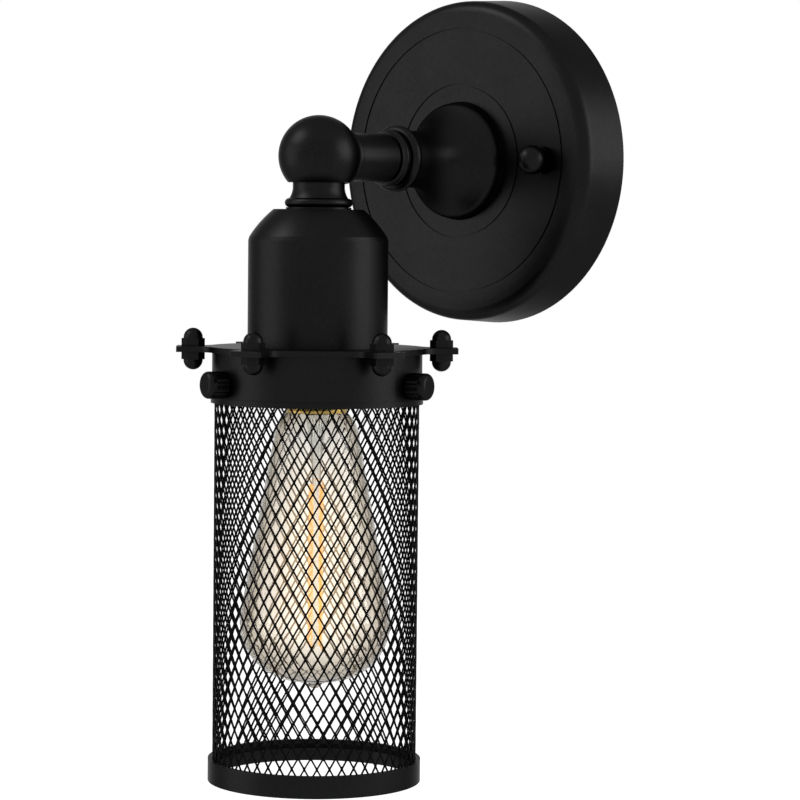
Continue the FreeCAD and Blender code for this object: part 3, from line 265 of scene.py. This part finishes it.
def metal(name, colour, darker, rough, stretch=(1.0, 1.0, 1.0)):
    """Bare metal with faint tool marks and a little tarnish."""
    material, tree, shader = new_material(name)
    tint = ramp(tree, noise(tree, scale=120.0, detail=4.0), [(0.35, darker), (0.65, colour)])
    tree.links.new(tint, shader.inputs["Base Color"])
    shader.inputs["Metallic"].default_value = 1.0
    marks = noise(tree, scale=400.0, detail=2.0, stretch=stretch)
    tree.links.new(spread(tree, marks, low=rough, high=rough + 0.14), shader.inputs["Roughness"])
    grain = noise(tree, scale=1800.0, detail=2.0, stretch=stretch)
    bump(tree, shader, grain, strength=0.08, distance=0.05 * MM)
    return material


def moulded(name, colour, rough):
    """Moulded plastic with a fine grain."""
    material, tree, shader = new_material(name)
    lighter = tuple(1.5 * part for part in colour)
    tint = ramp(tree, noise(tree, scale=70.0), [(0.3, colour), (0.7, lighter)])
    tree.links.new(tint, shader.inputs["Base Color"])
    dull = spread(tree, noise(tree, scale=200.0), low=rough, high=rough + 0.1)
    tree.links.new(dull, shader.inputs["Roughness"])
    bump(tree, shader, noise(tree, scale=2200.0, detail=2.0), strength=0.12, distance=0.08 * MM)
    return material


def painted_glow_band(tree):
    """Mask of the glass's painted glow: 1 at the height of the filament's middle, falling to 0 past
    its ends.
    """
    low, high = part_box("bulb_filament")
    middle = (low.z + high.z) / 2
    split = tree.nodes.new("ShaderNodeSeparateXYZ")
    tree.links.new(own_place(tree), split.inputs["Vector"])
    height = spread(tree, split.outputs["Z"], 0.0, 1.0, middle - PAINTED_GLOW_REACH, middle + PAINTED_GLOW_REACH)
    return ramp(tree, height, PAINTED_GLOW_BY_HEIGHT)


def lamp_glass():
    """Glass with a warm wash: clear with a painted glow in the middle, browner where it turns away.
    """
    material, tree, shader = new_material("lamp_glass")
    facing = tree.nodes.new("ShaderNodeLayerWeight")
    facing.inputs["Blend"].default_value = GLASS_BLEND
    turned = facing.outputs["Facing"]
    tree.links.new(ramp(tree, turned, GLASS_TINT), shader.inputs["Base Color"])
    # painted glow: the glass emits light near the filament, brightest where it faces the eye
    tree.links.new(ramp(tree, turned, GLASS_PAINTED_GLOW), shader.inputs["Emission Color"])
    tree.links.new(painted_glow_band(tree), shader.inputs["Emission Strength"])
    shader.inputs["Transmission Weight"].default_value = 1.0
    shader.inputs["IOR"].default_value = GLASS_IOR
    rough = spread(tree, noise(tree, scale=60.0), low=0.0, high=0.015)
    tree.links.new(rough, shader.inputs["Roughness"])
    drawn = noise(tree, scale=90.0, detail=1.0, stretch=(1.0, 1.0, 0.10))
    bump(tree, shader, drawn, strength=0.06, distance=0.4 * MM)
    return material


def stem_glass():
    """Clear glass of the stem."""
    material, tree, shader = new_material("stem_glass")
    shader.inputs["Base Color"].default_value = STEM_TINT
    shader.inputs["Transmission Weight"].default_value = 1.0
    shader.inputs["IOR"].default_value = STEM_IOR
    rough = spread(tree, noise(tree, scale=200.0), low=0.03, high=0.12)
    tree.links.new(rough, shader.inputs["Roughness"])
    return material


def glowing():
    """Filament at a warm low glow."""
    material, tree, shader = new_material("filament")
    heat = ramp(tree, noise(tree, scale=90.0), WIRE_HEAT)
    tree.links.new(heat, shader.inputs["Emission Color"])
    shader.inputs["Emission Strength"].default_value = WIRE_GLOW
    shader.inputs["Base Color"].default_value = WIRE_COLOUR
    return material


# One material for each slot of the record. Metals give their colour, their tarnish and roughness.
MATERIALS = {
    "black_coat": black_coat(),
    "strap_steel": metal(
        "strap_steel", (0.44, 0.44, 0.43), (0.30, 0.30, 0.295), 0.30, stretch=(1.0, 12.0, 12.0)
    ),
    "thread_steel": metal("thread_steel", (0.55, 0.54, 0.51), (0.38, 0.37, 0.35), 0.30),
    "wire_black": moulded("wire_black", (0.012, 0.012, 0.012), 0.42),
    "socket_plastic": moulded("socket_plastic", (0.014, 0.014, 0.015), 0.38),
    "brass": metal("brass", (0.58, 0.41, 0.13), (0.40, 0.27, 0.075), 0.24),
    "lamp_glass": lamp_glass(),
    "stem_glass": stem_glass(),
    "insulator": moulded("insulator", (0.010, 0.009, 0.011), 0.12),
    "solder": metal("solder", (0.72, 0.72, 0.70), (0.52, 0.52, 0.50), 0.28),
    "filament": glowing(),
}


def smooth(piece, angle=SHARP_ANGLE):
    """Smooth shading, kept sharp where faces meet at more than the angle."""
    piece.data.polygons.foreach_set("use_smooth", [True] * len(piece.data.polygons))
    piece.data.set_sharp_from_angle(angle=math.radians(angle))


def dress_nodes():
    """Gives every solid its material and smooth shading with crisp edges."""
    for part in frame["record"]["subparts"]:
        piece = nodes[part["node"]]
        piece.data.materials.clear()
        piece.data.materials.append(MATERIALS[part["material_slot"]])
        smooth(piece)


# ---------------------------------------------------------------- pieces

def new_object(name, data):
    """An object in the scene."""
    thing = bpy.data.objects.new(name, data)
    bpy.context.scene.collection.objects.link(thing)
    return thing


def new_mesh(name, points, faces):
    """A mesh object in the scene."""
    mesh = bpy.data.meshes.new(name)
    mesh.from_pydata(points, [], faces)
    mesh.update()
    return new_object(name, mesh)


def attach(piece, material, body, node):
    """Gives a piece its finish and its body, and hides the solid that it stands for."""
    piece.data.materials.append(material)
    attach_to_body(piece, body)
    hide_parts(node)


def thicken(piece, thickness, offset):
    """Gives a sheet its thickness: offset 0 to both sides, -1 inwards."""
    solid = piece.modifiers.new("thickness", "SOLIDIFY")
    solid.thickness = thickness
    solid.offset = offset


def opening(half_w, half_h):
    """Rounded diamond about its own centre, three points at each corner, from the foot round."""
    corners = [(0.0, -half_h), (half_w, 0.0), (0.0, half_h), (-half_w, 0.0)]
    loop = []
    for i, (x, z) in enumerate(corners):
        before = corners[i - 1]
        after = corners[(i + 1) % 4]
        start = (x + (before[0] - x) * CORNER_CUT, z + (before[1] - z) * CORNER_CUT)
        end = (x + (after[0] - x) * CORNER_CUT, z + (after[1] - z) * CORNER_CUT)
        middle = ((start[0] + end[0]) / 4 + x / 2, (start[1] + end[1]) / 4 + z / 2)
        loop += [start, middle, end]
    return loop


class Sheet:
    """Pierced sheet over a grid of crossings, rolled to the cage's radius."""

    def __init__(self, low, high):
        self.centre = (low + high) / 2
        self.radius = (high.x - low.x) / 2 - SHEET_T / 2
        self.foot = low.z + MESH_EDGE
        self.half_h = (high.z - low.z - 2 * MESH_EDGE) / (2 * MESH_ROWS)
        self.half_w = math.pi * self.radius / MESH_COUNT
        hole_w = self.half_w - STRAND_W / 2
        self.hole = opening(hole_w, self.half_h * hole_w / self.half_w)
        self.points = []
        self.faces = []
        self.crossings = {}

    def point(self, column, row, across=0.0, up=0.0):
        """Adds a point, off from a place in the grid, and gives its number."""
        angle = (column * self.half_w + across) / self.radius
        x = self.centre.x + self.radius * math.cos(angle)
        y = self.centre.y + self.radius * math.sin(angle)
        self.points.append((x, y, self.foot + row * self.half_h + up))
        return len(self.points) - 1

    def crossing(self, column, row):
        """The crossing at a place in the grid, shared by the openings round it."""
        key = (column % (2 * MESH_COUNT), row)
        if key not in self.crossings:
            self.crossings[key] = self.point(*key)
        return self.crossings[key]

    def whole(self, column, row):
        """One opening and the half strands round it."""
        loop = [self.point(column, row, across, up) for across, up in self.hole]
        places = [(column, row - 1), (column + 1, row), (column, row + 1), (column - 1, row)]
        corners = [self.crossing(*place) for place in places]
        for i, corner in enumerate(corners):
            start, middle, end = loop[3 * i:3 * i + 3]
            after = (i + 1) % 4
            self.faces.append((corner, middle, start))
            self.faces.append((corner, end, middle))
            self.faces.append((corner, corners[after], loop[3 * after], end))

    def half(self, column, row, side):
        """Half an opening at an end of the sheet, and the plain edge beyond it."""
        left = self.crossing(column - 1, row)
        right = self.crossing(column + 1, row)
        tip = self.crossing(column, row - side)
        # The opening's lower half, from its left corner by the foot to its right corner.
        outline = self.hole[10:] + self.hole[:5]
        loop = [self.point(column, row, across, side * up) for across, up in outline]
        right_end = self.point(column + 1, row, up=side * MESH_EDGE)
        left_end = self.point(column - 1, row, up=side * MESH_EDGE)
        faces = [
            (left, loop[1], loop[0]),
            (left, tip, loop[2], loop[1]),
            (tip, loop[3], loop[2]),
            (tip, loop[4], loop[3]),
            (tip, right, loop[5], loop[4]),
            (right, loop[6], loop[5]),
            (left, loop[0], loop[6], right, right_end, left_end),
        ]
        self.faces += faces if side > 0 else [face[::-1] for face in faces]


def cage_sheet():
    """Pierced diamond sheet with half diamonds and a plain edge at each end."""
    sheet = Sheet(*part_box("cage_mesh"))
    for row in range(1, 2 * MESH_ROWS):
        shift = row % 2 + 1
        for column in range(shift, 2 * MESH_COUNT + shift, 2):
            sheet.whole(column, row)
    for row, side in ((0, -1), (2 * MESH_ROWS, 1)):
        for column in range(1, 2 * MESH_COUNT, 2):
            sheet.half(column, row, side)
    piece = new_mesh("cage_sheet", sheet.points, sheet.faces)
    attach(piece, black_mesh(), "cage", "cage_mesh")
    weld = piece.modifiers.new("weld", "WELD")
    weld.merge_threshold = SAME_POINT
    thicken(piece, SHEET_T, 0.0)


def base_thread():
    """Rolled brass shell of the bulb's base: a wave that climbs one pitch in a turn."""
    low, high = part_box("bulb_base_shell")
    centre = (low + high) / 2
    length = high.z - low.z
    radius = (high.x - low.x) / 2 - THREAD_DEPTH / 2
    rings = int(length / THREAD_PITCH * THREAD_RINGS)
    points = []
    for ring in range(rings + 1):
        z = low.z + length * ring / rings
        calm = min(1.0, (z - low.z) / THREAD_PITCH, (high.z - z) / THREAD_PITCH)
        for step in range(THREAD_STEPS):
            angle = 2 * math.pi * step / THREAD_STEPS
            wave = math.cos(2 * math.pi * z / THREAD_PITCH - angle)
            r = radius + calm * wave * THREAD_DEPTH / 2
            points.append((centre.x + r * math.cos(angle), centre.y + r * math.sin(angle), z))
    faces = []
    for ring in range(rings):
        for step in range(THREAD_STEPS):
            a = ring * THREAD_STEPS + step
            b = ring * THREAD_STEPS + (step + 1) % THREAD_STEPS
            faces.append((a, b, b + THREAD_STEPS, a + THREAD_STEPS))
    shell = new_mesh("base_thread", points, faces)
    attach(shell, MATERIALS["brass"], "bulb", "bulb_base_shell")
    thicken(shell, THREAD_T, -1.0)
    smooth(shell, THREAD_SHARP_ANGLE)


def leg_axis(centre, number):
    """Middle line of one of the filament's legs, at height 0."""
    angle = 2 * math.pi * number / LEGS
    return Vector((centre.x + LEG_AT * math.cos(angle), centre.y + LEG_AT * math.sin(angle), 0.0))


def coil_path():
    """Points of the filament's wire: coiled legs, joined in turn below and above by plain loops."""
    low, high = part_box("bulb_filament")
    centre = (low + high) / 2
    bend = LEG_AT / math.sqrt(2)
    top = high.z - bend
    foot = low.z + bend
    steps = round((top - foot) / COIL_PITCH) * COIL_STEPS
    path = []
    for number in range(LEGS):
        axis = leg_axis(centre, number)
        start, end = (foot, top) if number % 2 else (top, foot)
        for step in range(steps + 1):
            angle = 2 * math.pi * step / COIL_STEPS
            z = start + (end - start) * step / steps
            path.append(axis + Vector((COIL_R * math.cos(angle), COIL_R * math.sin(angle), z)))
        if number < LEGS - 1:
            bow = math.copysign(bend, end - start)
            for step in range(1, LOOP_STEPS):
                angle = math.pi * step / LOOP_STEPS
                between = axis.lerp(leg_axis(centre, number + 1), (1 - math.cos(angle)) / 2)
                path.append(between + Vector((COIL_R, 0.0, end + bow * math.sin(angle))))
    return path


def filament_coil():
    """Coiled wire of the filament, in upright legs round the stem."""
    path = coil_path()
    curve = bpy.data.curves.new("filament_coil", "CURVE")
    curve.dimensions = "3D"
    curve.bevel_depth = COIL_WIRE_R
    curve.bevel_resolution = 0
    curve.use_fill_caps = True
    spline = curve.splines.new("POLY")
    spline.points.add(len(path) - 1)
    for point, place in zip(spline.points, path):
        point.co = (*place, 1.0)
    coil = new_object("filament_coil", curve)
    attach(coil, MATERIALS["filament"], "bulb", "bulb_filament")


# ---------------------------------------------------------------- camera, floor and light

def camera():
    """The photograph's viewpoint."""
    data = bpy.data.cameras.new("camera")
    data.lens = CAMERA_LENS
    data.sensor_width = CAMERA_SENSOR
    eye = new_object("camera", data)
    turn = Matrix.Rotation(math.radians(CAMERA_YAW), 4, "Z")
    tilt = Matrix.Rotation(math.radians(90.0 + CAMERA_PITCH), 4, "X")
    roll = Matrix.Rotation(math.radians(CAMERA_ROLL), 4, "Z")
    eye.matrix_world = Matrix.Translation(CAMERA_AT) @ turn @ tilt @ roll
    bpy.context.scene.camera = eye


def soft_box(name, at, aim, size, power):
    """Square lamp that faces a point."""
    data = bpy.data.lights.new(name, "AREA")
    data.energy = power
    data.size = size
    lamp = new_object(name, data)
    lamp.location = at
    lamp.rotation_euler = (Vector(aim) - Vector(at)).to_track_quat("-Z", "Y").to_euler()


def seen_directly(tree):
    """1 for the rays that see plain white, else 0."""
    path = tree.nodes.new("ShaderNodeLightPath")
    total = path.outputs[SEEN_BY[0]]
    for kind in SEEN_BY[1:]:
        total = joined(tree, "MAXIMUM", total, path.outputs[kind])
    return total


def room():
    """White surroundings to the eye, an even dim light to the surfaces."""
    world = bpy.data.worlds.new("room")
    bpy.context.scene.world = world
    world.use_nodes = True
    tree = world.node_tree
    tree.nodes.clear()
    output = tree.nodes.new("ShaderNodeOutputWorld")
    light = tree.nodes.new("ShaderNodeBackground")
    white = tree.nodes.new("ShaderNodeBackground")
    choose = tree.nodes.new("ShaderNodeMixShader")
    light.inputs["Strength"].default_value = ROOM_LIGHT
    white.inputs["Color"].default_value = (*WHITE, 1.0)
    white.inputs["Strength"].default_value = 1.0
    tree.links.new(seen_directly(tree), choose.inputs[0])
    tree.links.new(light.outputs[0], choose.inputs[1])
    tree.links.new(white.outputs[0], choose.inputs[2])
    tree.links.new(choose.outputs[0], output.inputs["Surface"])


def floor():
    """Plain white floor that keeps a faint shadow near the light."""
    half = FLOOR_SIZE / 2
    z = cad_box[0][2] - FLOOR_DROP
    corners = [(-half, -half, z), (half, -half, z), (half, half, z), (-half, half, z)]
    ground = new_mesh("floor", corners, [(0, 1, 2, 3)])
    material, tree, shader = new_material("floor")
    shader.inputs["Base Color"].default_value = (FLOOR_SHADE, FLOOR_SHADE, FLOOR_SHADE, 1.0)
    shader.inputs["Roughness"].default_value = FLOOR_ROUGH
    shader.inputs["Specular IOR Level"].default_value = 0.0
    away = tree.nodes.new("ShaderNodeVectorMath")
    away.operation = "LENGTH"
    tree.links.new(own_place(tree), away.inputs[0])
    glow = spread(tree, away.outputs["Value"], FLOOR_NEAR, 1.0, end=FLOOR_FAR)
    white = joined(tree, "MULTIPLY", glow, seen_directly(tree))
    tree.links.new(white, shader.inputs["Emission Strength"])
    shader.inputs["Emission Color"].default_value = (*WHITE, 1.0)
    ground.data.materials.append(material)


dress_nodes()
cage_sheet()
base_thread()
filament_coil()
camera()
room()
floor()
for lamp in LAMPS:
    soft_box(*lamp)
bpy.context.scene.view_settings.view_transform = "Standard"
